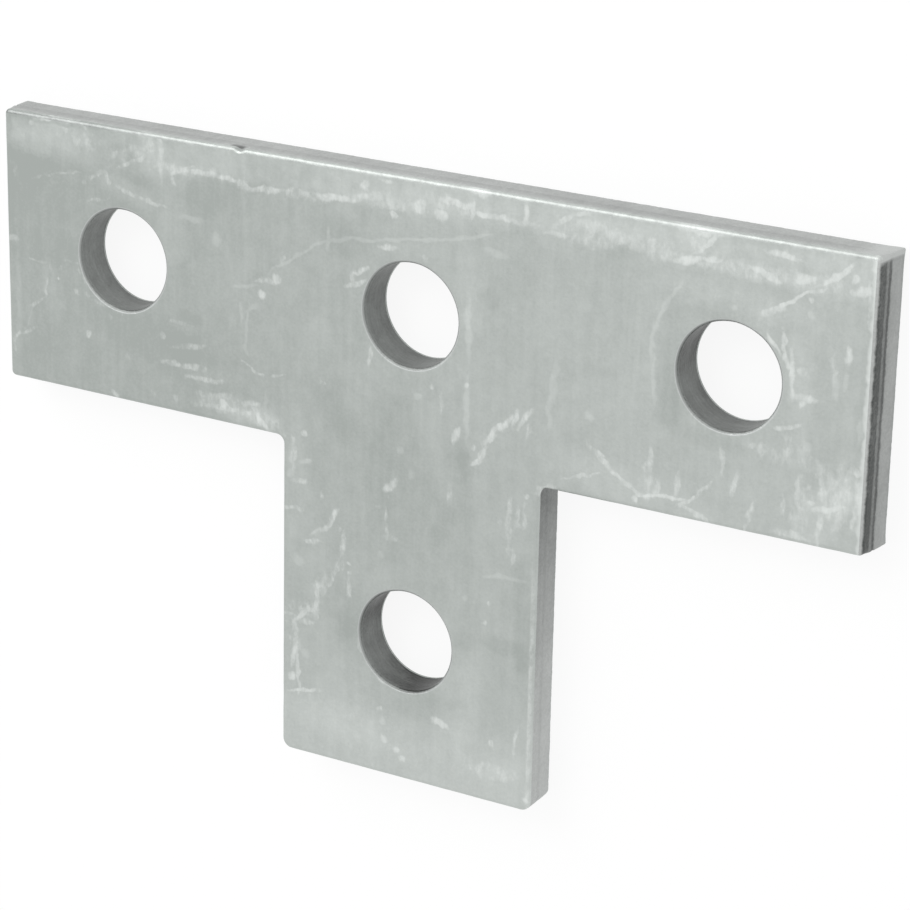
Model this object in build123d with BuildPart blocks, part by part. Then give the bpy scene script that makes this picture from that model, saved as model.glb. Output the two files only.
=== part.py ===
from build123d import *
from math import atan2, degrees
import os

# Flat tee plate that joins 41 mm channel framing with bolts.
#
# One piece of 6 mm steel plate, blanked to a T and punched with round holes, then
# hot-dip galvanised. Everything is in millimetres. The plate lies flat: its back
# face is the plane Z = 0 and its front face, the one with the rolled edges, looks
# up. The crossbar runs along X and the stem points along -Y. The origin is under
# the middle of the junction hole, where the crossbar and the stem cross.

# Plate
plate_thickness = 6.0
plate_height = 88.7  # from the crossbar's top edge to the stem's end
bar_length = 138.3  # at the back face, where the crossbar is longest
end_rake = 0.7  # what each sheared end leans in on its way to the front face
bar_width = 40.3
stem_width = 41.3

# Holes, for M12 or 1/2 in bolts
hole_diameter = 14.8
hole_pitch = 48.0
top_edge_to_row = 19.4  # the row sits a little above the crossbar's middle
hole_land = 2.6  # what the punch leaves smooth, measured from the front face
hole_tear = 0.05  # how far the torn part of a hole opens, on the radius

# Corners of the T, seen from above
bar_corner_radius = 0.8
stem_corner_radius = 1.5
inner_corner_radius = 1.2

# Edges of the two flat faces
edge_roll_radius = 0.6
rim_roll_radius = 0.45
back_edge_radius = 0.25

# Worked out from the sizes above
end_angle = degrees(atan2(plate_thickness, end_rake))
hole_radius = hole_diameter / 2
tear_height = plate_thickness - hole_land
hole_places = [(-hole_pitch, 0), (0, 0), (hole_pitch, 0), (0, -hole_pitch)]


with BuildPart() as joining_plate:
    # The crossbar's long section, with its raked ends, drawn out to its width.
    with BuildSketch(Plane.XZ.offset(-top_edge_to_row)) as bar_section:
        Trapezoid(
            bar_length, plate_thickness, end_angle, align=(Align.CENTER, Align.MIN)
        )
    extrude(amount=bar_width)

    # The stem, from the same plate.
    with BuildSketch(Plane.XY) as stem_outline:
        with Locations((0, top_edge_to_row)):
            Rectangle(stem_width, plate_height, align=(Align.CENTER, Align.MAX))
    extrude(amount=plate_thickness)

    # Corners of the outline: the edges that run through the thickness.
    def through_edges():
        return joining_plate.edges().filter_by(
            lambda edge: edge.bounding_box().size.Z > plate_thickness / 2
        )

    fillet(
        through_edges().filter_by(lambda edge: abs(edge.center().X) > stem_width),
        radius=bar_corner_radius,
    )
    by_the_stem = through_edges().filter_by(
        lambda edge: edge.center().Y < top_edge_to_row - bar_width / 2
        and abs(edge.center().X) < stem_width
    )
    fillet(by_the_stem.sort_by(Axis.Y)[:2], radius=stem_corner_radius)
    by_the_stem = through_edges().filter_by(
        lambda edge: abs(edge.center().Y - top_edge_to_row + bar_width) < 0.5
        and abs(edge.center().X) < stem_width
    )
    fillet(by_the_stem, radius=inner_corner_radius)

    # Rolled edge round the front face, and the knocked-off burr round the back.
    front_outline = joining_plate.faces().sort_by(Axis.Z)[-1].outer_wire().edges()
    fillet(front_outline, radius=edge_roll_radius)
    back_outline = joining_plate.faces().sort_by(Axis.Z)[0].outer_wire().edges()
    fillet(back_outline, radius=back_edge_radius)

    # Punched holes. Each has the punch's size down to the end of its land, then
    # opens slightly to the back, and the punch has rolled its front rim.
    with Locations(*hole_places):
        Hole(radius=hole_radius)
        Cone(
            bottom_radius=hole_radius + hole_tear,
            top_radius=hole_radius,
            height=tear_height,
            align=(Align.CENTER, Align.CENTER, Align.MIN),
            mode=Mode.SUBTRACT,
        )
    front_face = joining_plate.faces().sort_by(Axis.Z)[-1]
    front_rims = front_face.edges().filter_by(GeomType.CIRCLE)
    front_rims = front_rims.filter_by(lambda rim: abs(rim.radius - hole_radius) < 0.01)
    fillet(front_rims, radius=rim_roll_radius)

joining_plate.part.label = "joining_plate"

os.makedirs("parts", exist_ok=True)
export_step(joining_plate.part, "parts/joining_plate.step")
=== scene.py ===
import math

import bmesh
import bpy
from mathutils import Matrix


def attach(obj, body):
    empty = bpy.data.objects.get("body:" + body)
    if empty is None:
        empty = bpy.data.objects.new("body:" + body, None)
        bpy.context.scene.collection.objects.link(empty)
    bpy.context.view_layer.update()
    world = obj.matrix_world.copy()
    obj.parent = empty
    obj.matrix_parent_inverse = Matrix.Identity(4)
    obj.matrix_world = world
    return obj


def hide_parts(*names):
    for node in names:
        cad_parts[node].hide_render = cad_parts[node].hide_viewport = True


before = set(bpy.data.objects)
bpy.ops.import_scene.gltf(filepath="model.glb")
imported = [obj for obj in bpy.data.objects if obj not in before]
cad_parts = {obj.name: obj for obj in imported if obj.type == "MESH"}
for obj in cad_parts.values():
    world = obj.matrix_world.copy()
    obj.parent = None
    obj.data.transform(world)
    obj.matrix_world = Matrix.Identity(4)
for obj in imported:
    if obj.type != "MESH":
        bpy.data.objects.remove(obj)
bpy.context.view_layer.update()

mm = 0.001


# ---------------------------------------------------------------------------
# The plate: one flat tee, blanked from 6 mm strip, punched with four round
# holes, then dipped in zinc. A cut goes in at the front face with a roll, runs
# on as a smooth land, and ends torn, falling back a little to the back face.
# ---------------------------------------------------------------------------

thickness = 6.0 * mm
left_end = -68.66 * mm
right_end = 68.2 * mm
bar_width = 40.3 * mm
stem_width = 41.3 * mm
plate_height = 88.7 * mm
top_edge = 19.4 * mm
bar_bottom = top_edge - bar_width
land_bottom = 3.4 * mm
land_top = 5.4 * mm
land_rows = (3.65 * mm, 3.9 * mm, 4.15 * mm, 4.4 * mm, 4.9 * mm)
roll = 0.6 * mm
set_back = 0.03 * mm
back_break = 0.25 * mm
bar_corner = 0.8 * mm
stem_corner = 1.5 * mm
inner_corner = 1.2 * mm
hole_radius = 7.4 * mm
hole_set_back = 0.05 * mm
rim_roll = 0.45 * mm
hole_pitch = 48.0 * mm
hole_centres = ((-hole_pitch, 0), (0, 0), (hole_pitch, 0), (0, -hole_pitch))
column = 0.5 * mm


def choose(kind, wanted):
    """Selects the verts, edges or faces in edit mode that pass a test, and nothing else."""
    bpy.ops.mesh.select_mode(type={"verts": "VERT", "edges": "EDGE", "faces": "FACE"}[kind])
    bpy.ops.mesh.select_all(action="DESELECT")
    shape = bmesh.from_edit_mesh(bpy.context.object.data)
    for part in getattr(shape, kind):
        if wanted(part):
            part.select_set(True)
    bmesh.update_edit_mesh(bpy.context.object.data)


def middle(edge):
    return (edge.verts[0].co + edge.verts[1].co) / 2


def upright(edge):
    run = edge.verts[1].co - edge.verts[0].co
    return abs(run.z) > 0.9 * run.length


# The crossbar's land, with the stem drawn out of the middle of its lower side.
bpy.ops.object.select_all(action="DESELECT")
bpy.ops.mesh.primitive_cube_add(
    size=1,
    location=(
        (left_end + right_end) / 2,
        top_edge - bar_width / 2,
        (land_bottom + land_top) / 2,
    ),
    scale=(right_end - left_end, bar_width, land_top - land_bottom),
)
plate = bpy.context.object
plate.name = "tee_plate"
bpy.ops.object.transform_apply(location=True, rotation=True, scale=True)
bpy.ops.object.mode_set(mode="EDIT")
for side in (-1, 1):
    bpy.ops.mesh.select_all(action="SELECT")
    bpy.ops.mesh.bisect(plane_co=(side * stem_width / 2, 0, 0), plane_no=(1, 0, 0))
choose("faces", lambda f: f.normal.y < -0.9 and abs(f.calc_center_median().x) < stem_width / 4)
bpy.ops.mesh.extrude_region_move(TRANSFORM_OT_translate={"value": (0, bar_width - plate_height, 0)})
bpy.ops.mesh.select_all(action="SELECT")
bpy.ops.mesh.dissolve_limited(angle_limit=math.radians(1))

# Its corners, each kind with its own radius.
for radius, segments, at_corner in (
    (bar_corner, 6, lambda c: abs(c.x) > stem_width),
    (stem_corner, 8, lambda c: c.y < bar_bottom - column and abs(c.x) < stem_width),
    (inner_corner, 6, lambda c: abs(c.y - bar_bottom) < column and abs(c.x) < stem_width),
):
    choose("edges", lambda e: upright(e) and at_corner(middle(e)))
    bpy.ops.mesh.bevel(offset=radius, segments=segments, affect="EDGES")

# Columns along every cut, then rows up the land.
for halving in range(9):
    choose("edges", lambda e: not upright(e) and e.calc_length() > column)
    bpy.ops.mesh.subdivide(number_cuts=1)
for height in land_rows:
    bpy.ops.mesh.select_all(action="SELECT")
    bpy.ops.mesh.bisect(plane_co=(0, 0, height), plane_no=(0, 0, 1))

# The roll closes over the front: a quarter turn in six steps.
choose("faces", lambda f: f.normal.z > 0.9)
for step in range(6):
    turn, after = math.radians(15 * step), math.radians(15 * step + 15)
    bpy.ops.mesh.inset(
        thickness=roll * (math.cos(turn) - math.cos(after)),
        depth=roll * (math.sin(after) - math.sin(turn)),
    )

# The tear draws in towards the back, and its burr is knocked off.
choose("faces", lambda f: f.normal.z < -0.9)
for step in range(10):
    bpy.ops.mesh.inset(thickness=set_back / 10, depth=(land_bottom - back_break) / 10)
for step in range(3):
    turn, after = math.radians(30 * step), math.radians(30 * step + 30)
    bpy.ops.mesh.inset(
        thickness=back_break * (math.cos(turn) - math.cos(after)),
        depth=back_break * (math.sin(after) - math.sin(turn)),
    )
for row in (0, -hole_pitch):
    bpy.ops.mesh.select_all(action="SELECT")
    bpy.ops.mesh.bisect(plane_co=(0, row, 0), plane_no=(0, 1, 0))
bpy.ops.object.mode_set(mode="OBJECT")

# Four holes, cut by one punch and three copies of it. The punch flares at the
# front, where it rolls the rim, and widens to the back, where the metal tears.
bpy.ops.object.select_all(action="DESELECT")
bpy.ops.mesh.primitive_cylinder_add(
    vertices=96,
    radius=hole_radius,
    depth=land_top - land_bottom,
    location=(0, 0, (land_bottom + land_top) / 2),
)
punch = bpy.context.object
bpy.ops.object.transform_apply(location=True, rotation=True, scale=True)
bpy.ops.object.mode_set(mode="EDIT")
for height in (3.9 * mm, 4.4 * mm, 4.9 * mm):
    bpy.ops.mesh.select_all(action="SELECT")
    bpy.ops.mesh.bisect(plane_co=(0, 0, height), plane_no=(0, 0, 1))


def draw_out(rise, old_radius, new_radius):
    """Extrudes the selected end of the punch and brings it to a new radius."""
    bpy.ops.mesh.extrude_region_move(TRANSFORM_OT_translate={"value": (0, 0, rise)})
    wider = new_radius / old_radius
    bpy.ops.transform.resize(value=(wider, wider, 1), center_override=(0, 0, 0))


choose("faces", lambda f: f.normal.z > 0.9)
draw_out(thickness - rim_roll - land_top, hole_radius, hole_radius)
radius, height = hole_radius, 0
for step in range(6):
    after = math.radians(15 * step + 15)
    wider, taller = rim_roll * (1 - math.cos(after)), rim_roll * math.sin(after)
    if step == 5:  # the last facet runs on through the face, for a clean cut
        wider, taller = wider * 2 - (radius - hole_radius), taller * 2 - height
    draw_out(taller - height, radius, hole_radius + wider)
    radius, height = hole_radius + wider, taller
draw_out(1 * mm, radius, radius)
choose("faces", lambda f: all(v.co.z < land_bottom + 0.01 * mm for v in f.verts))
for step in range(8):
    draw_out(
        -land_bottom / 7.5,
        hole_radius + hole_set_back * step / 7.5,
        hole_radius + hole_set_back * (step + 1) / 7.5,
    )
bpy.ops.object.mode_set(mode="OBJECT")
for x, y in hole_centres:
    bpy.ops.object.select_all(action="DESELECT")
    punch.select_set(True)
    bpy.context.view_layer.objects.active = punch
    bpy.ops.object.duplicate()
    here = bpy.context.object
    bpy.ops.transform.translate(value=(x, y, 0))
    bpy.context.view_layer.objects.active = plate
    cut = plate.modifiers.new("hole", "BOOLEAN")
    cut.operation = "DIFFERENCE"
    cut.solver = "EXACT"
    cut.object = here
    bpy.ops.object.modifier_apply(modifier=cut.name)
    bpy.data.objects.remove(here)
bpy.data.objects.remove(punch)

bpy.ops.object.mode_set(mode="EDIT")
bpy.ops.mesh.select_all(action="SELECT")
bpy.ops.mesh.remove_doubles(threshold=0.01 * mm)

# A narrow margin inside each flat face keeps the face flat up to the roll.
for level in (0, thickness):
    choose("faces", lambda f: all(abs(v.co.z - level) < 0.001 * mm for v in f.verts))
    bpy.ops.mesh.inset(thickness=0.12 * mm)
bpy.ops.object.mode_set(mode="OBJECT")


# Small unevenness that the shear leaves. Each kind has a group of points with
# weights, and a push along one direction, even or by a cloud pattern.
def fade(value, nothing, full):
    """0 at one end of a range and 1 at the other."""
    return min(max((value - nothing) / (full - nothing), 0.0), 1.0)


def push(name, distance, weight_at, direction="NORMAL", grain=None, stretch=(1, 1, 1)):
    group = plate.vertex_groups.new(name=name)
    for vert in plate.data.vertices:
        weight = weight_at(vert.co.x, vert.co.y, vert.co.z)
        if weight > 0:
            group.add([vert.index], weight, "REPLACE")
    pushed = plate.modifiers.new(name, "DISPLACE")
    pushed.vertex_group = name
    pushed.direction = direction
    pushed.strength = distance
    pushed.mid_level = 0.0
    bpy.context.view_layer.objects.active = plate
    if grain:
        bpy.ops.object.empty_add(location=(0.017, 0.031, 0.005))
        pattern_frame = bpy.context.object
        pattern_frame.scale = stretch
        bpy.context.view_layer.update()
        pushed.texture = bpy.data.textures.new(name, "CLOUDS")
        pushed.texture.noise_scale = grain
        pushed.texture.noise_depth = 2
        pushed.texture_coords = "OBJECT"
        pushed.texture_coords_object = pattern_frame
        bpy.context.view_layer.objects.active = plate
    bpy.ops.object.modifier_apply(modifier=name)
    if grain:
        bpy.data.objects.remove(pattern_frame)


def on_a_cut(z):
    return 1.0 if 0.01 * mm < z < thickness - 0.01 * mm else 0.0


# The crossbar's corners are round at the front, where they roll over, and
# crisp behind. A point's depth is how far in it lies from each of two walls.
crisp_by = 0.5 * mm
for name, direction, distance, depths in (
    ("right_corners", "X", crisp_by, lambda x, y: (right_end - x, min(top_edge - y, y - bar_bottom))),
    ("left_corners", "X", -crisp_by, lambda x, y: (x - left_end, min(top_edge - y, y - bar_bottom))),
    ("top_corners", "Y", crisp_by, lambda x, y: (top_edge - y, min(right_end - x, x - left_end))),
    ("low_corners", "Y", -crisp_by, lambda x, y: (y - bar_bottom, min(right_end - x, x - left_end))),
):

    def corner_weight(x, y, z):
        here, beside = depths(x, y)
        rise_and_fall = min(here / bar_corner, fade(here, 2.8 * mm, bar_corner))
        return rise_and_fall * fade(beside, 2.5 * mm, 0.95 * mm) * fade(z, 4.9 * mm, land_bottom)

    push(name, distance, corner_weight, direction)

# The shear leaned: both ends of the crossbar run out towards the back.
push(
    "right_rake", 0.7 * mm, direction="X",
    weight_at=lambda x, y, z: fade(x, 66.4 * mm, 68.0 * mm) * fade(z, land_top, 0),
)
push(
    "left_rake", -0.45 * mm, direction="X",
    weight_at=lambda x, y, z: fade(x, -66.8 * mm, -68.5 * mm) * fade(z, land_top, 0),
)

# The two arms were not sheared quite alike: the left one grows wider towards
# the stem, and the right one is a little narrower.
def under_an_arm(y):
    above = fade(y, bar_bottom + 8 * mm, bar_bottom + mm)
    return above * fade(y, bar_bottom - 6 * mm, bar_bottom - 1.3 * mm)


push(
    "left_arm", -0.42 * mm, direction="Y",
    weight_at=lambda x, y, z: under_an_arm(y)
    * fade(x, -18 * mm, -20.6 * mm)
    * fade(x, -80 * mm, -22 * mm),
)
push(
    "right_arm", 0.17 * mm, direction="Y",
    weight_at=lambda x, y, z: under_an_arm(y) * fade(x, 18 * mm, 20.6 * mm),
)

# Everything below takes metal away, so the plate keeps its outer sizes: a
# groove where land and tear meet, a wandering roll, a ragged tear, and a nick.
push(
    "end_groove", -0.24 * mm, grain=0.003,
    weight_at=lambda x, y, z: fade(abs(x), 67.3 * mm, 67.8 * mm)
    * max(0.0, 1 - abs(z - 3.25 * mm) / (0.45 * mm)),
)
push(
    "wander", -0.05 * mm, grain=0.0035,
    weight_at=lambda x, y, z: on_a_cut(z),
)
push(
    "torn", -0.08 * mm, grain=0.0006, stretch=(1, 1, 3),
    weight_at=lambda x, y, z: on_a_cut(z) * fade(z, land_bottom, land_bottom - 0.8 * mm),
)
push(
    "nick", -0.35 * mm, direction="Y",
    weight_at=lambda x, y, z: max(0.0, 1 - abs(x + 28.0 * mm) / (0.9 * mm))
    * fade(y, 18.2 * mm, 19.2 * mm)
    * fade(z, 4.4 * mm, 5.6 * mm),
)
bpy.ops.object.select_all(action="DESELECT")
plate.select_set(True)
bpy.ops.object.shade_smooth()
even = plate.modifiers.new("even normals", "WEIGHTED_NORMAL")
even.weight = 100
bpy.ops.object.modifier_apply(modifier=even.name)


# The zinc. Four finishes share one skin: dull zinc with paler frost on it, in
# clouds, in runs down the plate, and in a fine grain.
def place_node(tree, kind, **settings):
    made = tree.nodes.new(kind)
    for name, value in settings.items():
        setattr(made, name, value)
    return made


def feed(tree, node, values):
    """Sets or links a node's inputs, by name or number."""
    for name, value in values.items():
        if hasattr(value, "is_output"):
            tree.links.new(value, node.inputs[name])
        else:
            node.inputs[name].default_value = value
    return node.outputs[0]


def sum_up(tree, how, first, second, clamp=False):
    node = place_node(tree, "ShaderNodeMath", operation=how, use_clamp=clamp)
    return feed(tree, node, {0: first, 1: second})


def clouds_at(tree, where, scale, detail=3.0, rough=0.5, stretch=(1, 1, 1)):
    """Noise about 0 to 1, on millimetre places; stretch is how many times finer each way."""
    if stretch != (1, 1, 1):
        finer = place_node(tree, "ShaderNodeVectorMath", operation="MULTIPLY")
        where = feed(tree, finer, {0: where, 1: stretch})
    noise = place_node(tree, "ShaderNodeTexNoise")
    return feed(tree, noise, {"Vector": where, "Scale": scale, "Detail": detail, "Roughness": rough})


def ramp_between(tree, value, low, high, at_low=0.0, at_high=1.0, smooth=True):
    node = place_node(tree, "ShaderNodeMapRange")
    node.interpolation_type = "SMOOTHSTEP" if smooth else "LINEAR"
    return feed(
        tree, node,
        {"Value": value, "From Min": low, "From Max": high, "To Min": at_low, "To Max": at_high},
    )


def blend_colours(tree, amount, low, high):
    node = place_node(tree, "ShaderNodeMix", data_type="RGBA")
    feed(tree, node, {0: amount, 6: low, 7: high})
    return node.outputs[2]


skin = bpy.data.node_groups.new("zinc_skin", "ShaderNodeTree")
for name, kind in (
    ("Place", "NodeSocketVector"),
    ("Dull", "NodeSocketColor"),
    ("Pale", "NodeSocketColor"),
    ("Frost", "NodeSocketFloat"),
    ("Clouds", "NodeSocketFloat"),
    ("Runs", "NodeSocketFloat"),
):
    skin.interface.new_socket(name=name, in_out="INPUT", socket_type=kind)
for name, kind in (
    ("Colour", "NodeSocketColor"),
    ("Roughness", "NodeSocketFloat"),
    ("Height", "NodeSocketFloat"),
):
    skin.interface.new_socket(name=name, in_out="OUTPUT", socket_type=kind)
given = place_node(skin, "NodeGroupInput").outputs
large = clouds_at(skin, given["Place"], 0.09, 3.0, 0.55)
small = clouds_at(skin, given["Place"], 0.45, 3.0, 0.6)
both = sum_up(skin, "ADD", large, small)
both = sum_up(skin, "SUBTRACT", both, 1.0)
both = sum_up(skin, "MULTIPLY", both, given["Clouds"])
runs = clouds_at(skin, given["Place"], 1.0, 2.0, 0.6, (0.9, 0.07, 0.3))
runs = sum_up(skin, "SUBTRACT", runs, 0.5)
runs = sum_up(skin, "MULTIPLY", runs, given["Runs"])
grain = clouds_at(skin, given["Place"], 2.6, 2.0, 0.6)
grain = sum_up(skin, "SUBTRACT", grain, 0.5)
fine = sum_up(skin, "MULTIPLY", grain, 0.35)
frost = sum_up(skin, "ADD", given["Frost"], both)
frost = sum_up(skin, "ADD", frost, runs)
frost = sum_up(skin, "ADD", frost, fine, clamp=True)
made = place_node(skin, "NodeGroupOutput").inputs
skin.links.new(blend_colours(skin, frost, given["Dull"], given["Pale"]), made["Colour"])
skin.links.new(ramp_between(skin, frost, 0.0, 1.0, 0.42, 0.6), made["Roughness"])
skin.links.new(sum_up(skin, "ADD", frost, grain), made["Height"])


def new_finish(name, rough=0.5):
    """An all-metal material, and the place in millimetres that its patterns read."""
    finish = bpy.data.materials.new(name)
    finish.use_nodes = True
    tree = finish.node_tree
    tree.nodes["Principled BSDF"].inputs["Metallic"].default_value = 1.0
    tree.nodes["Principled BSDF"].inputs["Roughness"].default_value = rough
    coords = place_node(tree, "ShaderNodeTexCoord")
    in_mm = place_node(tree, "ShaderNodeVectorMath", operation="SCALE")
    place = feed(tree, in_mm, {0: coords.outputs["Object"], "Scale": 1000.0})
    plate.data.materials.append(finish)
    return tree, place


def lay_skin(tree, place, dull, pale, frost, cloudy, runny):
    layer = place_node(tree, "ShaderNodeGroup", node_tree=skin)
    feed(
        tree, layer,
        {"Place": place, "Dull": dull, "Pale": pale, "Frost": frost, "Clouds": cloudy, "Runs": runny},
    )
    return layer.outputs


def finish_off(tree, colour, rough, height, bump_strength, bump_size):
    bump = place_node(tree, "ShaderNodeBump")
    feed(tree, bump, {"Height": height, "Strength": bump_strength, "Distance": bump_size})
    feed(
        tree, tree.nodes["Principled BSDF"],
        {"Base Color": colour, "Roughness": rough, "Normal": bump.outputs[0]},
    )


# Marks on the front face, in millimetres: a half width, then the points of a
# line, or one point for a spot. First the scratches and rubs with chalk in them,
# with painted highlights on the rolled top edge and its right corner among them.
bright_marks_and_highlights = (
    # along the top edge: painted highlights on the rolled edge
    (0.5, (-62, 19.0), (-59.5, 19.3)),
    (0.35, (-58, 19.3), (-56, 19.5)),
    (0.5, (9.6, 19.1), (11.0, 19.0)),
    (0.55, (41.5, 19.0), (44.8, 19.0)),
    # in the frost band
    (0.35, (-37.5, 14.9), (-32, 14.8), (-28.3, 14.7)),
    (0.35, (-28, 14.5), (-26, 14.0), (-21, 14.3)),
    (0.4, (-14.5, 14.5), (-10, 14.8)),
    (0.6, (-7.5, 17.2)),
    (0.7, (1.3, 15.6)),
    (0.7, (4.6, 14.9)),
    (0.5, (5.6, 17.1), (8.6, 16.8)),
    (0.3, (9.5, 16.8), (9.4, 15.6)),
    (0.4, (10.4, 16.1), (12, 15.9)),
    (0.5, (40.7, 14.6), (42.5, 15.0)),
    (0.4, (44, 15.2), (45.6, 15.4)),
    (0.4, (51.2, 15.0), (53.4, 14.2)),
    (0.45, (57.2, 14.7), (58.8, 15.2)),
    (0.45, (65.4, 14.4), (67.2, 14.6)),
    (0.3, (-39, 14), (-36.7, 15.2)),
    # on the left arm
    (0.5, (-68.1, 0.2), (-67.2, 0.3)),
    (0.45, (-54.2, -12)),
    (0.45, (-41.2, -10)),
    (0.35, (-39, -11.3), (-35, -10.6)),
    (0.4, (-40.5, -14), (-38, -13.9)),
    (0.45, (-37.4, -13.9), (-35.6, -13.7)),
    (0.4, (-35.5, -15.5), (-31.8, -15.2)),
    (0.35, (-50, -20), (-49.3, -20.7)),
    (0.6, (-30.7, -18.5)),
    (0.35, (-24.8, -19.2), (-23.6, -20.3)),
    # round the junction hole
    (0.6, (-21.8, 1.5)),
    (0.55, (-24.1, -1.1)),
    (0.35, (-8.6, 4.9), (-7.3, 5.6)),
    (0.35, (-9.6, 2.9), (-7.8, 3.5)),
    (0.45, (-4.4, 9.0), (-3.1, 9.1)),
    (0.45, (-2.8, 13.6)),
    (0.35, (-6.3, -6.4), (-6.6, -7.5)),
    (0.4, (-17.1, -20)),
    # below it, to the right
    (0.4, (7.4, -16.2), (7.8, -15.0)),
    (0.35, (10.6, -19.2), (11.4, -18.6), (12.1, -16.9)),
    (0.4, (12.4, -15.7), (13.6, -14.1), (15.3, -12.6), (15.8, -11.8)),
    (0.3, (16.5, -12.2), (16.9, -10.9)),
    (0.4, (17.8, -11.9), (18.9, -10.3)),
    # on the right arm
    (0.25, (55.3, 10.7), (57.3, 12.5), (58.2, 13.1)),
    (0.3, (61.2, 15.1), (63, 16.3)),
    (0.4, (64.6, 6.6), (64.6, 5.5)),
    (0.45, (58.6, -1.6)),
    (0.25, (53.5, 6.4), (54.5, 5.1)),
    (0.3, (55.5, 6.8), (55.7, 4.6), (56.2, 3.2)),
    (0.3, (56.8, 3.8), (57, 0.5)),
    (0.45, (66.7, -9.4)),
    (0.25, (36.3, -18.6), (38.5, -18.3), (41.3, -18.1)),
    # on the stem
    (0.6, (21.1, -21.2), (22.1, -20.6)),
    (0.35, (-13.6, -33.8), (-11.7, -31.1)),
    (0.3, (-10.4, -34.6), (-10.3, -36)),
    (0.25, (-9.6, -38.3)),
    (0.35, (-14.7, -43.4), (-14.8, -46.4)),
    (0.35, (-14.9, -46.4), (-16.4, -46.7), (-17.9, -48.6)),
    (0.3, (-18, -54.4), (-17.8, -58.4)),
    (0.35, (-9.3, -41.2), (-9.3, -42.8)),
    (0.55, (-3.3, -25.5), (-2.4, -24.8)),
    (0.3, (-15.8, -36.2)),
    (0.4, (-18.3, -52.2), (-18.7, -54.8)),
    (0.5, (-18.9, -57.7)),
    (0.25, (-18.2, -59.7), (-15.4, -59.1)),
    (0.5, (5.1, -58.6), (6.2, -59)),
    (0.3, (-3.9, -54.7), (-3.2, -55)),
    (0.35, (18.9, -22.4)),
    # painted highlights on the rolled top right corner
    (0.5, (67.8, 18.6)),
    (0.45, (68.45, 19.2)),
)
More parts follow.
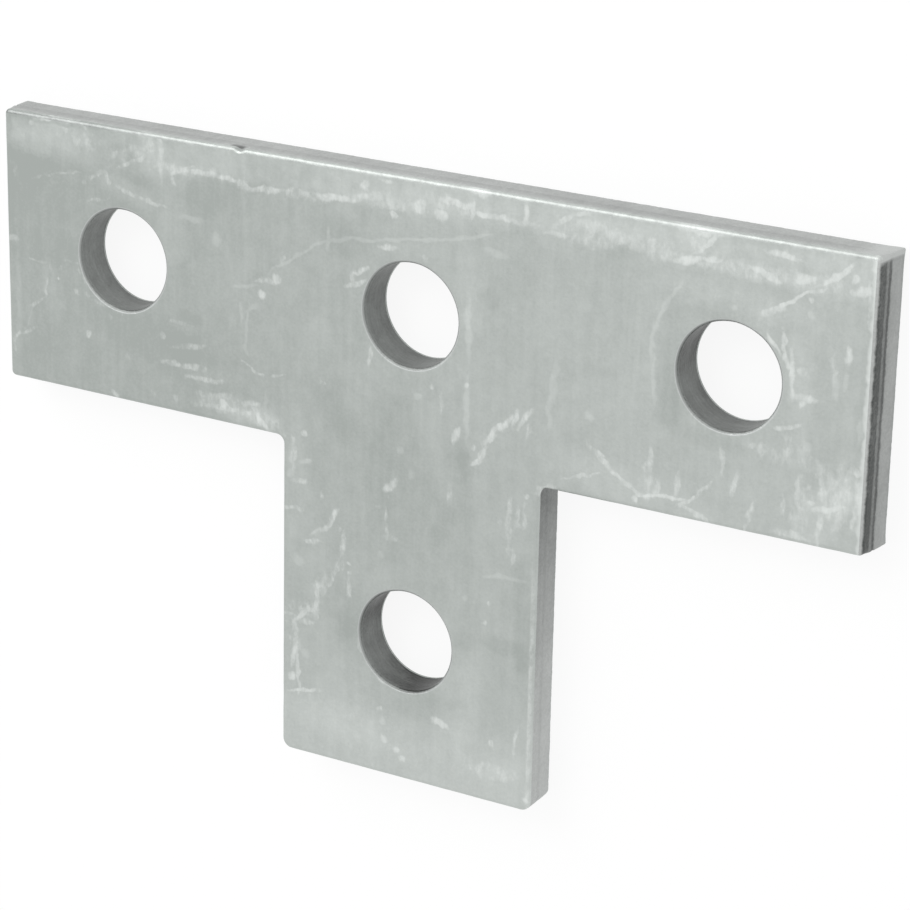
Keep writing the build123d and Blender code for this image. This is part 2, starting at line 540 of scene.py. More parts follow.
plain_marks = (
    (0.6, (-53.8, 16.5)),
    (0.5, (-49, 15.3), (-46, 16.8)),
    (0.3, (-48.5, 13.5), (-46, 15), (-43, 16.5)),
    (0.45, (-41.4, 18.2), (-41.1, 14.2)),
    (0.3, (-39.5, 14), (-39, 12.6)),
    (0.4, (-63.8, 18.1)),
    (0.4, (-57.8, 17.7)),
    (0.3, (-54, 18.2)),
    (0.6, (-39.5, 14.8), (-36, 14.7)),
    (0.5, (-20.5, 14.2), (-15.5, 14.2)),
    (0.4, (-10, 15.1), (-7, 15.7)),
    (0.6, (-6.3, 15.7), (-5.2, 15.8)),
    (0.5, (-4.7, 14.8), (-2, 14.9)),
    (0.3, (-4.4, 18.3), (-3.6, 18.3)),
    (0.4, (12.8, 15.8), (17.2, 15.8)),
    (0.35, (17.4, 18.0), (17.4, 16.4)),
    (0.3, (22.9, 17), (24.5, 18.1), (26.5, 18.7)),
    (0.35, (21.5, 14.9), (23.6, 14.9)),
    (0.3, (43, 16.3), (45.5, 18.4)),
    (0.3, (53.2, 17.7), (56, 17.3)),
    (0.25, (59.5, 14.2), (61.5, 15.3)),
    (0.25, (63, 16.3), (64.1, 17.7)),
    (0.25, (58.2, 13.1), (60.8, 13.9)),
    (0.35, (53.2, 9.7), (54.8, 10.2)),
    (0.4, (64.8, 15.9)),
    (0.25, (66.8, 14.3), (67, 11)),
    (0.3, (67.2, 18.4), (67.3, 15.6)),
    (0.25, (59, 12.1)),
    # left arm
    (0.35, (-54.5, 10.5)),
    (0.3, (-54, 11), (-51, 12.7), (-50.5, 11.3)),
    (0.3, (-49.5, 11), (-45, 9.7), (-41.5, 9.2)),
    (0.18, (-64.3, 9.8), (-61.8, 10.6), (-59, 11), (-56, 11.7)),
    (0.35, (-68, 12), (-66.7, 10.5), (-66, 8.2)),
    (0.25, (-53.5, 8.1), (-51, 8.7)),
    (0.2, (-64.4, -2.5), (-61, -2.2), (-60.9, -3)),
    (0.3, (-58.8, -3)),
    (0.3, (-59.3, -4.5)),
    (0.25, (-61.8, -4.7), (-61.7, -7.5)),
    (0.3, (-62.7, -8.3), (-64.7, -9.8), (-64.9, -12), (-66, -13)),
    (0.3, (-64.6, -13.2), (-67, -14.2), (-67.7, -16), (-67.5, -17)),
    (0.25, (-57.7, -1.9), (-55.8, -1.7)),
    (0.25, (-55.5, -3), (-54.7, -4.5)),
    (0.25, (-52.8, -6.8), (-48.7, -7.9)),
    (0.5, (-56, -6)),
    (0.4, (-54.3, -6)),
    (0.4, (-50.3, -8.7)),
    (0.5, (-47.3, -14.4)),
    (0.3, (-38.8, -7.6), (-36, -7.6)),
    (0.5, (-43, -19)),
    (0.5, (-39, -19.3)),
    (0.45, (-34, -19.1), (-28.5, -18.8)),
    (0.5, (-33.8, -17.6), (-29.5, -17.3)),
    (0.4, (-34, -13.9)),
    (0.4, (-27.6, -19.2), (-25, -19)),
    (0.45, (-26.6, -17.6), (-25.2, -17.4)),
    # junction
    (0.3, (-24.6, 0.9), (-23.6, 1.4), (-22.5, 1.0)),
    (0.3, (-20.9, 4.6), (-20.7, 5.2)),
    (0.2, (-27.3, -11.6), (-26, -12), (-24.5, -12.9), (-23.2, -13), (-20.6, -12.2)),
    (0.3, (-9.2, 4.7), (-9.5, 3.2)),
    (0.4, (2.3, 8.8)),
    (0.35, (3.5, -9.5)),
    (0.3, (5.2, -10.7), (5.2, -12.2)),
    (0.35, (9, -8.2)),
    (0.35, (10.5, -17.1)),
    (0.3, (19.1, -12), (18.8, -13.6)),
    (0.4, (-18.9, -21.5)),
    (0.35, (-13.9, -12)),
    # right arm
    (0.2, (25.2, -18.4), (28.7, -17.2)),
    (0.25, (28.8, -13.7), (30, -14.2)),
    (0.3, (28.7, -13.7), (31.5, -16), (34, -17.6), (36.3, -18.6)),
    (0.25, (42, -18.7), (43.3, -17.9), (45, -16.3), (46, -15.2)),
    (0.25, (42, -19), (43.5, -19.5), (46, -20.3)),
    (0.35, (62.6, 4.8), (62.6, 3)),
    (0.4, (67.3, 3)),
    (0.45, (58.3, 2.5)),
    (0.4, (58, -0.8), (59.7, -0.8)),
    (0.22, (55.3, -5.4), (57.7, -4.8)),
    (0.6, (56.8, -7.0), (57, -8.8)),
    (0.5, (52, -8.5)),
    (0.4, (53.4, -8.3)),
    (0.3, (47.7, -10.7), (47.8, -13)),
    (0.35, (49.7, -13.3), (49.5, -15.4)),
    (0.4, (37.2, -12.8), (37.3, -14.4)),
    (0.35, (41.4, -15), (41.4, -17.2)),
    (0.45, (38.3, -16.4), (38.1, -18)),
    (0.4, (35.2, -19.4)),
    (0.35, (56.7, -15.2), (56.7, -16.8)),
    (0.3, (52.3, -17.4), (51.5, -19.7)),
    (0.35, (62, -17.2), (61.7, -19.7)),
    (0.4, (56.5, -19.7), (59, -19.9)),
    (0.4, (66.6, -16.5)),
    (0.35, (60.6, -14.5)),
    (0.5, (62, -11.9), (62.2, -13.4)),
    (0.5, (67, -11.6), (66.9, -15.4)),
    (0.4, (64.5, -14.6), (61.5, -15.4)),
    (0.4, (58.6, -13.0), (58.6, -15.0)),
    # stem
    (0.5, (-18.9, -22.4), (-18.7, -24.8)),
    (0.35, (-17.4, -24.4), (-16.3, -24.3)),
    (0.4, (-18.2, -27.5), (-17.3, -27.4)),
    (0.4, (-14, -28.6)),
    (0.3, (-20.2, -31.8), (-17.8, -31.6)),
    (0.3, (-15.2, -35), (-14.3, -34.2)),
    (0.3, (-16.6, -36.4), (-15, -36)),
    (0.3, (-11, -33.5)),
    (0.3, (-10.4, -34.6), (-10.5, -38)),
    (0.3, (-9.4, -39.8)),
    (0.3, (-19.8, -48), (-18.4, -48.2)),
    (0.35, (-11.3, -38.9), (-12.4, -41.5), (-13.5, -43.3)),
    (0.35, (-17.4, -48.8), (-15.8, -48.6)),
    (0.35, (-18.1, -49.7), (-18.5, -51.8)),
    (0.4, (-4.4, -28.6)),
    (0.45, (-3.4, -33), (-2.4, -33.1)),
    (0.25, (-3.2, -28.5), (-3.3, -32.6)),
    (0.4, (6.8, -24.1), (6.8, -25.5)),
    (0.28, (17.6, -24.6), (17.4, -26.4), (18.1, -26.8)),
    (0.28, (18.5, -24.3), (18.7, -26.2)),
    (0.5, (16.2, -24.6), (16.3, -29.6)),
    (0.3, (17, -31), (17, -32.3)),
    (0.4, (14.6, -26.8)),
    (0.35, (13.6, -39.2)),
    (0.4, (12.8, -42.4)),
    (0.25, (-7.6, -50), (-6.1, -52.5)),
    (0.35, (-3.9, -59.2)),
    (0.4, (-3.3, -63.8)),
    (0.4, (-1, -64.8)),
    (0.35, (-0.2, -66.1)),
    (0.25, (18.3, -57.4), (18, -59.8)),
    (0.4, (14.3, -60)),
    (0.3, (20.2, -67.6)),
)
frosty_patches = (
    (0.9, (42.2, 18.4), (43.0, 16.4)),
    (0.9, (43.5, 15.0), (49.5, 15.1)),
    (0.9, (50.2, 14.5), (55.4, 14.5)),
    (0.9, (56.2, 14.8), (61.8, 14.6)),
    (0.9, (24.6, 16.0), (28.4, 17.1)),
    (0.8, (30.4, 16.2), (32.6, 15.8)),
    (0.9, (34.6, 15.6), (39.2, 15.1)),
    (0.9, (25.4, 15.0), (29, 15.0)),
    (1.6, (64.6, -10.8), (64.4, -15.0)),
    (1.2, (59.2, -13.6), (59.0, -16.5)),
    (0.8, (36.8, -14.5), (37.2, -17.5)),
    (1.0, (-18.6, -47.8), (-18.4, -52)),
    (0.9, (-17.6, -46.8), (-14.8, -46.2)),
    (0.9, (-14.6, -43.2), (-13.6, -41.6)),
    (0.9, (12.8, -64.5), (16.7, -64.3)),
    (0.8, (53.5, -9.0), (55.5, -9.6)),
    (1.0, (59.5, -9.2), (62.5, -10.2)),
    (0.9, (-6.5, 15.4), (-1.2, 15.2)),
    (0.9, (4.4, 16.9), (9.0, 16.6)),
    (1.0, (-43.5, 18.4), (-42.4, 15.4)),
    (1.0, (-54.8, 16.6), (-52.6, 16.3)),
    (1.2, (-48.0, 15.6), (-44.8, 16.6)),
    (0.9, (-37.6, 14.6), (-30.0, 14.6)),
    (1.0, (-26.6, -19.0), (-22.6, -20.0)),
    (1.1, (-33.4, -18.4), (-28.6, -18.4)),
)

# Then the stains in the frost: old scratches, dark spots, and wide areas that
# are a little paler or duller than the rest. Among the dark marks, the first three
# are painted shade: on the rolled top edge, where it catches less light, and in the nick.
faint_marks = (
    (0.25, (-21.7, 3.2), (-17.3, 6.3), (-14, 8.3), (-10, 9.3), (-5.3, 9.9)),
    (0.22, (-5.3, 9.9), (-0.7, 10.7), (4.3, 11.4), (9.3, 12.7), (11.7, 13.3)),
    (0.25, (-28.3, -0.5), (-25.8, -0.1)),
    (0.25, (-25.3, -3), (-26.5, -3.8), (-26.8, -7.5), (-27.1, -8.8), (-26.8, -9.8)),
    (0.25, (-27.7, -3.4), (-27.7, -5)),
    (0.35, (-13.2, 9.6), (-13.3, 8)),
    (0.4, (-37.2, 7.9), (-35, 8.1)),
    (0.7, (-31.8, 5.9)),
    (0.3, (40.3, 10.8), (39.3, 9.5), (38.4, 7.8), (37.6, 6.4), (36.9, 4.4), (36.8, 0.8)),
    (0.3, (37.2, -0.4), (37.4, -4.4)),
    (0.5, (22.6, -4), (22, -8.8)),
    (0.35, (21.8, -9.3), (21.9, -11)),
    (0.5, (28, -9.2)),
    (0.5, (9, 3), (9.2, -3)),
    (0.35, (9.1, -8.4), (9.1, -14.4)),
    (0.5, (12.2, 11), (14, 10.8)),
    (0.4, (48.5, 9.5)),
    (0.4, (1.4, -11.3)),
    (0.35, (-23.4, -16.5), (-23.4, -19.6)),
    (0.5, (-1.3, -19.5)),
    (0.4, (59, 10.3)),
    (0.4, (62.9, 2.2), (62.9, 0.6)),
    (0.3, (64.4, 2.9), (64.3, 1.8)),
    (0.35, (66.8, -2.8), (66.7, -5)),
    (0.6, (59.6, -7.5)),
    (0.25, (67.45, 10.6), (67.4, 0)),
    (0.25, (67.4, 0), (67.4, -8)),
    (0.6, (0.6, -22.8)),
    (0.5, (-4.1, -35.8)),
    (0.3, (13.3, -35), (17.7, -34.8)),
    (0.4, (9.6, -39.3)),
    (0.6, (-16.5, -53.6)),
    (0.5, (-3.5, -61.1)),
    (0.6, (-19.2, -26.5)),
    (0.7, (-17.8, -39.6)),
    (2.5, (-66, 16.4), (-58, 16.6)),
    (2.2, (63, -13.5), (67, -12.5)),
    (1.6, (-30.5, -18.4), (-24.5, -18.8)),
)
dark_marks_and_shade = (
    # painted shade on the rolled top edge, where it catches less light
    (0.6, (-68.3, 19.1), (-62.8, 19.2)),
    (0.6, (-55.6, 19.3), (-49.4, 19.3)),
    # painted shade in the nick
    (0.45, (-28.6, 19.3), (-27.3, 19.3)),
    (0.3, (-68, 18.7), (-64, 18.8)),
    (0.25, (-62, 18.2), (-56, 18.4)),
    (1.6, (-38.2, -10.6), (-35.3, -10.4)),
    (1.2, (-37.4, -12.6), (-34.5, -12.8)),
    (0.8, (-37, -6.3), (-35.4, -6.6)),
    (0.8, (-67.9, 14), (-68, -12)),
    (1.2, (-0.7, -12.7)),
    (2.4, (-10.7, -18)),
    (0.8, (8.9, -18.6), (8.9, -21)),
    (1.4, (12.4, 4.7)),
    (1.6, (6.2, -27.4)),
    (1.5, (5.5, -31)),
    (2.2, (-9.8, -47.5)),
    (1.7, (9.5, -46)),
    (1.2, (14.5, -45), (18.4, -45.2)),
    (0.9, (18.9, -47.4)),
    (2.4, (-32, 12), (-35.5, 11.2)),
    (1.8, (39.5, -3), (40.2, -7)),
    (1.5, (44.5, 8.4), (48, 9)),
    (0.8, (36.5, -19.7), (41.5, -19.4)),
    (1.6, (0, -58.2), (6, -56.6)),
)
pale_areas = (
    (2.5, (-18.5, -23), (-18.3, -37)),
    (4.5, (-15, -52), (-12, -55)),
    (3.0, (11, -50), (9, -57)),
    (2.5, (-29, -20), (-22, -21.5)),
    (2.2, (44, 11), (56, 10)),
    (1.6, (58, 5), (58.5, -4)),
    (2.2, (-19.6, -52), (-19.6, -57)),
    (2.6, (62.5, -16), (61, -18)),
    (2.5, (28, -17), (44, -20)),
    (3.0, (-40, 5), (-39, 10)),
    (2.2, (-43.5, 18.6), (-42, 15)),
    (1.4, (-49, 10.8), (-42, 9)),
    (2.0, (9.4, 8), (9.6, 2)),
    (2.0, (-15.1, -37), (-15.1, -43)),
    (1.8, (-61, -5), (-60.5, -8)),
    (2.8, (-17, -61.5), (-6, -63)),
    (1.2, (-67.6, -2), (-67.8, -19)),
    (1.8, (-64, 15.4), (-59, 16.4)),
    (1.3, (42, 14.6), (66, 14.2)),
    (1.6, (34, 17.4), (66, 17.2)),
    (1.6, (43, 17.4), (53, 17.0)),
    (1.6, (-37, -14.2), (-30, -15.4)),
    (2.0, (-14.5, -5.5), (-14.2, -9.5)),
)
dull_areas = (
    (5.0, (-2, -21), (1, -33)),
    (1.6, (8, -18.5), (8.6, -21.5)),
    (1.3, (44, -8.7), (49, -9.3)),
    (1.0, (66.8, -1), (66.8, -5)),
    (2.0, (8.4, -27), (8.6, -34)),
    (1.6, (-5.2, -30.8)),
    (3.0, (-48, -10), (-38, -13)),
    (1.8, (-13, 10), (-9, 8.4)),
    (2.2, (40, 6), (40, -3)),
    (2.4, (-14, -10), (-13, -14)),
    (1.6, (18.6, -36), (18.9, -45)),
    (1.6, (62, -13)),
    (2.0, (-31, -16), (-28, -17)),
    (2.2, (-8, -45), (-9, -49)),
    (3.0, (-62, 14), (-66, 11)),
)

# The walls of the holes have wide patches of painted shade and painted light too,
# here by their places in the plan.
bore_shades = (
    (6.0, (42.5, 5.0)),
    (4.5, (-6.5, -43.5)),
    (6.0, (2.0, -55.4), (5.0, -54.0)),
)
bore_lights = (
    (5.5, (-54, -4)),
    (5.0, (-6, -4.5)),
)


def marks_on(tree, where, squares, marks):
    """How near each point is to any of the marks: 0 in the middle of one, 1 at its rim.

    A mark is a run of ovals. One oval is a quadratic in x and y, so it takes two
    dot products: one with (x, y, 1), and one with (xx, xy, yy).
    """
    nearest = None
    for half_width, *points in marks:
        for (x1, y1), (x2, y2) in zip(points, points[1:] or points):
            half_length = math.hypot(x2 - x1, y2 - y1) * 0.62 + half_width
            turn = math.atan2(y2 - y1, x2 - x1)
            along, across = half_length**-2, half_width**-2
            xx = along * math.cos(turn) ** 2 + across * math.sin(turn) ** 2
            yy = along * math.sin(turn) ** 2 + across * math.cos(turn) ** 2
            xy = (along - across) * math.sin(turn) * math.cos(turn)
            x, y = (x1 + x2) / 2, (y1 + y2) / 2
            back_x, back_y = xx * x + xy * y, xy * x + yy * y
            curved = place_node(tree, "ShaderNodeVectorMath", operation="DOT_PRODUCT")
            feed(tree, curved, {0: squares, 1: (xx, 2 * xy, yy)})
            flat = place_node(tree, "ShaderNodeVectorMath", operation="DOT_PRODUCT")
            feed(tree, flat, {0: where, 1: (-2 * back_x, -2 * back_y, back_x * x + back_y * y)})
            oval = sum_up(tree, "ADD", curved.outputs["Value"], flat.outputs["Value"])
            nearest = oval if nearest is None else sum_up(tree, "MINIMUM", nearest, oval)
    return nearest


def touching(marks, field):
    """The marks that reach into a field, given as its low and high corners."""
    (low_x, low_y), (high_x, high_y) = field
    found = []
    for half_width, *points in marks:
        for start, end in zip(points, points[1:] or points):
            reach = 1.4 * half_width + 0.45 * math.dist(start, end) + 0.8
            if (
                min(start[0], end[0]) - reach < high_x
                and max(start[0], end[0]) + reach > low_x
                and min(start[1], end[1]) - reach < high_y
                and max(start[1], end[1]) + reach > low_y
            ):
                found.append((half_width, start, end))
    return found


# The front face. The plate hung from its top edge in the bath, so frost lies in
# a band along the top and at the foot of the stem. The face grows paler towards the right.
# It is finished field by field, so that each reads only the marks that reach it.
field_columns = (-70, -53, -38, -22, -8, 8, 22, 38, 53, 70)
field_rows = (-70, -54, -38, -17, 2, 13, 20)


def plan_of(tree, place):
    """A place seen from the front, as (x, y, 1) and as (xx, xy, yy)."""
    split = place_node(tree, "ShaderNodeSeparateXYZ")
    feed(tree, split, {0: place})
    x_at, y_at, z_at = split.outputs
    flat = place_node(tree, "ShaderNodeCombineXYZ")
    feed(tree, flat, {0: x_at, 1: y_at, 2: 1.0})
    squares = place_node(tree, "ShaderNodeCombineXYZ")
    feed(
        tree, squares,
        {
            0: sum_up(tree, "MULTIPLY", x_at, x_at),
            1: sum_up(tree, "MULTIPLY", x_at, y_at),
            2: sum_up(tree, "MULTIPLY", y_at, y_at),
        },
    )
    return x_at, y_at, flat.outputs[0], squares.outputs[0]


zinc_dull = (0.42, 0.45, 0.43, 1)
zinc_pale = (0.7, 0.73, 0.71, 1)
# chalk white, also the colour of painted highlights on the rolled edges
chalk_and_highlight_white = (0.82, 0.85, 0.83, 1)


def finish_front(field):
    """One field of the front face, given as its low and high corners."""
    (low_x, low_y), (high_x, high_y) = field
    tree, place = new_finish("zinc_front")

    # The marks stray a little from their lines.
    stray = place_node(tree, "ShaderNodeTexNoise")
    feed(tree, stray, {"Vector": place, "Scale": 0.5, "Detail": 1.0, "Roughness": 0.5})
    about = place_node(tree, "ShaderNodeVectorMath", operation="SUBTRACT")
    about = feed(tree, about, {0: stray.outputs["Color"], 1: (0.5, 0.5, 0.5)})
    strays = place_node(tree, "ShaderNodeVectorMath", operation="MULTIPLY_ADD")
    where = feed(tree, strays, {0: about, 1: (1.3, 1.3, 0), 2: place})
    x_at, y_at, where, squares = plan_of(tree, where)

    # Paleness: more to the right; frost at the foot and in the band along the top.
    frost = ramp_between(tree, x_at, -62.0, 12.0, 0.06, 0.255)
    frost = sum_up(tree, "ADD", frost, ramp_between(tree, x_at, 12.0, 52.0, 0.0, 0.1))
    foot = ramp_between(tree, y_at, -54.0, -65.0, 0.0, 0.26)
    frost = sum_up(tree, "ADD", frost, foot)
    band = ramp_between(tree, x_at, 26.0, 48.0, 0.22, 0.08)
    band = sum_up(tree, "MULTIPLY", band, ramp_between(tree, x_at, -50.0, -34.0, 0.5, 0.9))
    start = ramp_between(tree, x_at, -48.0, -34.0, 12.0, 13.8)
    rise = sum_up(tree, "SUBTRACT", y_at, start)
    band = sum_up(tree, "MULTIPLY", band, ramp_between(tree, rise, 0.0, 2.0))
    frost = sum_up(tree, "ADD", frost, band)
    for marks, strength in (
        (dull_areas, -0.13),
        (pale_areas, 0.14),
        (dark_marks_and_shade, -0.12),
        (faint_marks, 0.2),
    ):
        near = marks_on(tree, where, squares, touching(marks, field))
        if near:
            frost = sum_up(tree, "ADD", frost, ramp_between(tree, near, 2.4, 0.0, 0.0, strength))
    cloudy = ramp_between(tree, rise, -2.0, 2.0, 0.3, 0.5)
    layer = lay_skin(tree, place, zinc_dull, zinc_pale, frost, cloudy, 0.25)

    # The chalk: crumbs of it everywhere, and more of them where it is marked. The same
    # white makes the painted highlights of the bright marks on the rolled top edge.
    crumbs = sum_up(tree, "SUBTRACT", clouds_at(tree, place, 0.85, 4.0, 0.66, (1.25, 0.7, 1)), 0.5)
    chalk_and_highlight_amount = sum_up(tree, "MULTIPLY", crumbs, 1.3)
    frosted = sum_up(tree, "MULTIPLY", sum_up(tree, "SUBTRACT", frost, 0.3), 0.5)
    chalk_and_highlight_amount = sum_up(tree, "ADD", chalk_and_highlight_amount, frosted)
    marked = 0.0
    for marks, strength in ((frosty_patches, 0.32), (plain_marks, 0.46), (bright_marks_and_highlights, 0.62)):
        near = marks_on(tree, where, squares, touching(marks, field))
        if near:
            marked = sum_up(tree, "MAXIMUM", marked, ramp_between(tree, near, 3.6, 0.0, 0.0, strength))
    chalk_and_highlight_amount = sum_up(tree, "ADD", chalk_and_highlight_amount, marked)
    chalk_and_highlight_amount = ramp_between(tree, chalk_and_highlight_amount, 0.13, 1.0, 0.0, 0.75)
    colour = blend_colours(tree, chalk_and_highlight_amount, layer["Colour"], chalk_and_highlight_white)
    height = sum_up(tree, "ADD", layer["Height"], chalk_and_highlight_amount)

    # The pale line along the stem's right edge is a painted highlight on its rolled edge,
    # and a pale line runs along the right end. The dull strip under the top edge is
    # painted shade on the roll, which narrows the roll's highlight.
    split = place_node(tree, "ShaderNodeSeparateXYZ")
    feed(tree, split, {0: place})
    x_there, y_there = split.outputs["X"], split.outputs["Y"]
    if low_x < stem_width / mm / 2 < high_x and high_y < 0:
        # Painted highlight on the stem's rolled right edge.
        out = ramp_between(tree, x_there, 19.85, 20.15)
        line = sum_up(tree, "MULTIPLY", out, ramp_between(tree, x_there, 20.65, 20.4))
        line = sum_up(tree, "MULTIPLY", line, ramp_between(tree, y_at, -30.0, -38.0))
        line = sum_up(tree, "MULTIPLY", line, ramp_between(tree, crumbs, -0.15, 0.15, 0.1, 0.45))
        colour = blend_colours(tree, line, colour, chalk_and_highlight_white)
    if high_x > right_end / mm:
        line = ramp_between(tree, x_at, 67.0, 67.6, 0.0, 0.5)
        colour = blend_colours(tree, line, colour, chalk_and_highlight_white)
    if high_y > top_edge / mm:
        # Painted shade on the roll under the top edge.
        roll_shade = ramp_between(tree, x_there, -66.0, -22.0, 0.9, 0.4)
        roll_shade = sum_up(tree, "ADD", roll_shade, crumbs)
        roll_shade = sum_up(tree, "MULTIPLY", roll_shade, ramp_between(tree, y_there, 18.7, 18.95))
        roll_shade = sum_up(tree, "MULTIPLY", roll_shade, ramp_between(tree, y_there, 19.35, 19.2), clamp=True)
        colour = blend_colours(tree, roll_shade, colour, (0.24, 0.25, 0.245, 1))
    finish_off(tree, colour, layer["Roughness"], height, 0.12, 0.0001)


# The cut edges: a smooth land where the shear burnished them, paler where they tore.
# On the two ends of the crossbar the land is painted dark, a painted reflection of a
# dark surround in the smooth land; the other sides are paler.
tree, place = new_finish("zinc_cut")
split = place_node(tree, "ShaderNodeSeparateXYZ")
feed(tree, split, {0: place})
x_at, y_at, z_at = split.outputs
wobble = sum_up(tree, "SUBTRACT", clouds_at(tree, place, 0.8, 3.0, 0.6), 0.5)

# How much each place belongs to an end, or to the top wall.
out = place_node(tree, "ShaderNodeMath", operation="ABSOLUTE")
out = sum_up(tree, "ADD", feed(tree, out, {0: x_at}), sum_up(tree, "MULTIPLY", wobble, 0.35))
at_end = ramp_between(tree, out, 67.85, 68.12)
at_end = sum_up(tree, "MULTIPLY", at_end, ramp_between(tree, y_at, 18.9, 17.9))
at_top = ramp_between(tree, y_at, 17.9, 18.9)

# The tone of the top wall, with painted shade in a nick, and of the stem's right
# side, darkened near the inner corner by a painted shadow of the arm.
top = ramp_between(tree, x_at, -40.0, 10.0, 0.65, 0.71)
top = sum_up(tree, "ADD", top, ramp_between(tree, x_at, 64.0, 68.0, 0.0, 0.35))
top = sum_up(tree, "ADD", top, ramp_between(tree, z_at, 4.0, 5.3, 0.0, 0.18))
# Painted shade in the nick near the top wall's front edge.
from_nick = sum_up(tree, "ADD", x_at, 28.7)
nick = ramp_between(tree, from_nick, 1.6, 0.5)
nick = sum_up(tree, "MULTIPLY", nick, ramp_between(tree, from_nick, -1.6, -0.5))
nick = sum_up(tree, "MULTIPLY", nick, ramp_between(tree, z_at, 4.2, 5.0, 0.0, 0.6))
top = sum_up(tree, "SUBTRACT", top, nick)
# Painted shadow of the arm: the stem's right side is darkest by the inner corner and paler further
# down.
arm_shadow_ramp = ramp_between(tree, y_at, -20.0, -36.0, 0.15, 0.58, smooth=False)
arm_shadow_ramp = sum_up(tree, "ADD", arm_shadow_ramp, ramp_between(tree, y_at, -36.0, -54.0, 0.0, 0.28))
side = sum_up(tree, "MAXIMUM", arm_shadow_ramp, sum_up(tree, "MULTIPLY", at_top, top))
side = sum_up(tree, "MAXIMUM", side, ramp_between(tree, z_at, 5.2, 5.4, 0.0, 0.9))
side = sum_up(tree, "MULTIPLY", side, sum_up(tree, "SUBTRACT", 1.0, at_end))

# The bands of an end, from the torn back to the dark land at the front; the dark
# bands are a painted dark reflection in the smooth land.
level = sum_up(tree, "ADD", z_at, sum_up(tree, "MULTIPLY", wobble, 0.5))
bands = place_node(tree, "ShaderNodeValToRGB")
feed(tree, bands, {0: sum_up(tree, "DIVIDE", level, 6.0)})
while len(bands.color_ramp.elements) > 1:
    bands.color_ramp.elements.remove(bands.color_ramp.elements[-1])
first = bands.color_ramp.elements[0]
first.position, first.color = 0.0, (0.6, 0.6, 0.6, 1)
for depth_at, tone in (
    (0.9, 0.72),
    (2.9, 0.66),
    (3.25, 0.08),
    (3.7, 0.02),
    (3.95, 0.3),
    (4.3, 0.3),
    (4.6, 0.04),
    (6.0, 0.04),
):
    stop = bands.color_ramp.elements.new(depth_at / 6.0)
    stop.color = (tone, tone, tone, 1)
banded = sum_up(tree, "MULTIPLY", bands.outputs[0], ramp_between(tree, at_end, 0.0, 1.0, 0.15, 1.0))
frost = sum_up(tree, "ADD", side, banded)
layer = lay_skin(tree, place, (0.09, 0.095, 0.092, 1), (0.56, 0.575, 0.565, 1), frost, 0.2, 0.2)
finish_off(tree, layer["Colour"], layer["Roughness"], layer["Height"], 0.25, 0.0002)

# The hole walls: dull and dark, darker towards the back, faintly ringed. Their dark
# and the darkening towards the back are painted shade inside the holes.
tree, place = new_finish("zinc_bore")
split = place_node(tree, "ShaderNodeSeparateXYZ")
feed(tree, split, {0: place})
z_at = split.outputs["Z"]
depth = ramp_between(tree, z_at, 0.0, 4.0, 0.16, 0.39)
rings = clouds_at(tree, place, 1.0, 3.0, 0.65, (0.3, 0.3, 2.2))
depth = sum_up(tree, "ADD", depth, sum_up(tree, "MULTIPLY", rings, 0.5))
x_at, y_at, where, squares = plan_of(tree, place)
near = marks_on(tree, where, squares, bore_shades)
depth = sum_up(tree, "ADD", depth, ramp_between(tree, near, 1.9, 0.0, 0.0, -0.42))
near = marks_on(tree, where, squares, bore_lights)
depth = sum_up(tree, "ADD", depth, ramp_between(tree, near, 1.9, 0.0, 0.0, 0.16))
# Painted shade, deepest on the lower wall of the hole in the stem.
hollow = ramp_between(tree, x_at, -2.5, 1.5)
hollow = sum_up(tree, "MULTIPLY", hollow, ramp_between(tree, y_at, -53.6, -54.8))
depth = sum_up(tree, "SUBTRACT", depth, sum_up(tree, "MULTIPLY", hollow, 0.26))


def from_centre(tree, at):
    """How far a place lies from the middle of its own hole, one way."""
    wrapped = place_node(tree, "ShaderNodeMath", operation="WRAP")
    half_pitch = hole_pitch / mm / 2
    return feed(tree, wrapped, {0: at, 1: half_pitch, 2: -half_pitch})


# The rolled rim: paler, most of all on the right and at the very edge. Its lit
# side, its lip and its very edge are painted highlights on the roll.
across, down = from_centre(tree, x_at), from_centre(tree, y_at)
edge = ramp_between(tree, z_at, 5.3, 5.6)
edge = sum_up(tree, "MULTIPLY", edge, ramp_between(tree, across, 1.0, -4.0))
depth = sum_up(tree, "ADD", depth, sum_up(tree, "MULTIPLY", edge, 0.35))
layer = lay_skin(tree, place, (0.055, 0.057, 0.055, 1), (0.33, 0.345, 0.335, 1), depth, 0.5, 0.0)
lit = ramp_between(tree, across, 1.0, 6.0)
lit = sum_up(tree, "MULTIPLY", lit, ramp_between(tree, z_at, 5.5, 5.7))
lit = sum_up(tree, "MULTIPLY", lit, ramp_between(tree, down, -7.4, -4.0))
lip = ramp_between(tree, z_at, 5.78, 5.94)
lip = sum_up(tree, "MULTIPLY", lip, ramp_between(tree, across, -3.0, 2.0, 0.5, 1.0))
lip = sum_up(tree, "MULTIPLY", lip, ramp_between(tree, down, -7.4, -5.5, 0.2, 1.0))
lit = sum_up(tree, "MAXIMUM", lit, lip)
colour = blend_colours(tree, lit, layer["Colour"], (0.46, 0.48, 0.47, 1))
rim = ramp_between(tree, z_at, 5.93, 5.985)
colour = blend_colours(tree, rim, colour, (0.55, 0.57, 0.56, 1))
finish_off(tree, colour, layer["Roughness"], layer["Height"], 0.25, 0.0002)

# The back face: plain clouded zinc.
tree, place = new_finish("zinc_back")
layer = lay_skin(tree, place, zinc_dull, zinc_pale, 0.22, 0.45, 0.3)
finish_off(tree, layer["Colour"], layer["Roughness"], layer["Height"], 0.12, 0.0001)


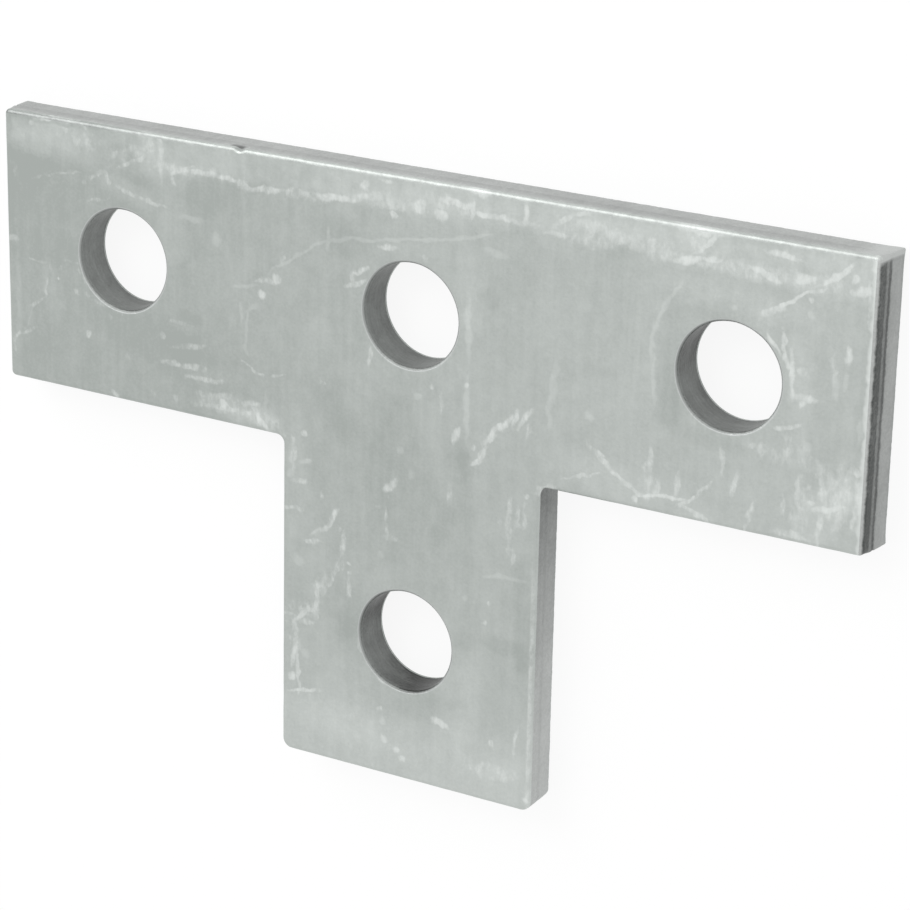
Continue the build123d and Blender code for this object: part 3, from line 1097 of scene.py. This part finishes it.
def in_a_hole(c):
    """The wall of a hole, with the roll at its front rim."""
    near = min(math.hypot(c.x - x, c.y - y) for x, y in hole_centres)
    return near < hole_radius + rim_roll - 0.02 * mm and c.z < thickness - 0.002 * mm


def on_end(c):
    """The roll along the right end of the crossbar, up to the corner, carries the land's painted dark
    reflection.
    """
    return c.z < thickness - 0.002 * mm and c.x > right_end - roll and c.y < 18.9 * mm


def on_front(c):
    return c.z > land_top and not on_end(c) and not in_a_hole(c)


bpy.context.view_layer.objects.active = plate
bpy.ops.object.mode_set(mode="EDIT")
for slot, belongs in enumerate((
    lambda c: 0.3 * mm < c.z and not in_a_hole(c),
    lambda c: 0.3 * mm < c.z and in_a_hole(c),
    lambda c: c.z < 0.3 * mm,
)):
    choose("faces", lambda f: belongs(f.calc_center_median()))
    plate.active_material_index = slot
    bpy.ops.object.material_slot_assign()
for cut_x in field_columns[1:-1]:
    choose("faces", lambda f: on_front(f.calc_center_median()))
    bpy.ops.mesh.bisect(plane_co=(cut_x * mm, 0, 0), plane_no=(1, 0, 0))
for cut_y in field_rows[1:-1]:
    choose("faces", lambda f: on_front(f.calc_center_median()))
    bpy.ops.mesh.bisect(plane_co=(0, cut_y * mm, 0), plane_no=(0, 1, 0))
for low_x, high_x in zip(field_columns, field_columns[1:]):
    for low_y, high_y in zip(field_rows, field_rows[1:]):
        if high_y < bar_bottom / mm - 5 and abs(low_x + high_x) > stem_width / mm:
            continue
        finish_front(((low_x, low_y), (high_x, high_y)))
        choose(
            "faces",
            lambda f: on_front(f.calc_center_median())
            and low_x * mm <= f.calc_center_median().x <= high_x * mm
            and low_y * mm <= f.calc_center_median().y <= high_y * mm,
        )
        plate.active_material_index = len(plate.material_slots) - 1
        bpy.ops.object.material_slot_assign()
bpy.ops.object.mode_set(mode="OBJECT")

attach(plate, "root")
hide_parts("joining_plate")


# ---------------------------------------------------------------------------
# The stage: a floor of white paper under the plate, one soft lamp beyond its
# top edge, and a camera that looks down on it from above its right end.
# ---------------------------------------------------------------------------

bpy.ops.object.select_all(action="DESELECT")
bpy.ops.mesh.primitive_plane_add(size=20, location=(0, 0, -0.05 * mm))
floor = bpy.context.object
floor.name = "floor"
paper = bpy.data.materials.new("white_paper")
paper.use_nodes = True
tree = paper.node_tree
matt = tree.nodes["Principled BSDF"]
matt.inputs["Base Color"].default_value = (0.9, 0.9, 0.9, 1)
matt.inputs["Roughness"].default_value = 0.9
glow = place_node(tree, "ShaderNodeEmission")
glow.inputs["Strength"].default_value = 1.0
rays = place_node(tree, "ShaderNodeLightPath")
seen = sum_up(tree, "MAXIMUM", rays.outputs["Is Camera Ray"], rays.outputs["Is Glossy Ray"])
seen = sum_up(tree, "MAXIMUM", seen, rays.outputs["Is Transmission Ray"])
mix = place_node(tree, "ShaderNodeMixShader")
feed(tree, mix, {0: sum_up(tree, "MULTIPLY", seen, 0.88), 1: matt.outputs[0], 2: glow.outputs[0]})
tree.links.new(mix.outputs[0], tree.nodes["Material Output"].inputs["Surface"])
floor.data.materials.append(paper)

world = bpy.data.worlds.new("studio")
bpy.context.scene.world = world
world.use_nodes = True
world.node_tree.nodes["Background"].inputs["Color"].default_value = (1, 1, 1, 1)
world.node_tree.nodes["Background"].inputs["Strength"].default_value = 0.9

bpy.ops.object.light_add(type="AREA", location=(-0.5, 0.7, 0.6))
top_light = bpy.context.object
top_light.data.shape = "SQUARE"
top_light.data.size = 0.8
top_light.data.energy = 6
top_light.rotation_euler = (math.radians(-45), 0, math.radians(35))

bpy.ops.object.camera_add(
    location=(0.2190, 0.13135, 0.37333),
    rotation=(math.radians(-18.802), math.radians(30.339), math.radians(1.354)),
)
camera = bpy.context.object
camera.data.sensor_width = 36
camera.data.lens = 129.94
camera.data.clip_start = 0.01
bpy.context.scene.camera = camera
bpy.context.scene.view_settings.view_transform = "Standard"
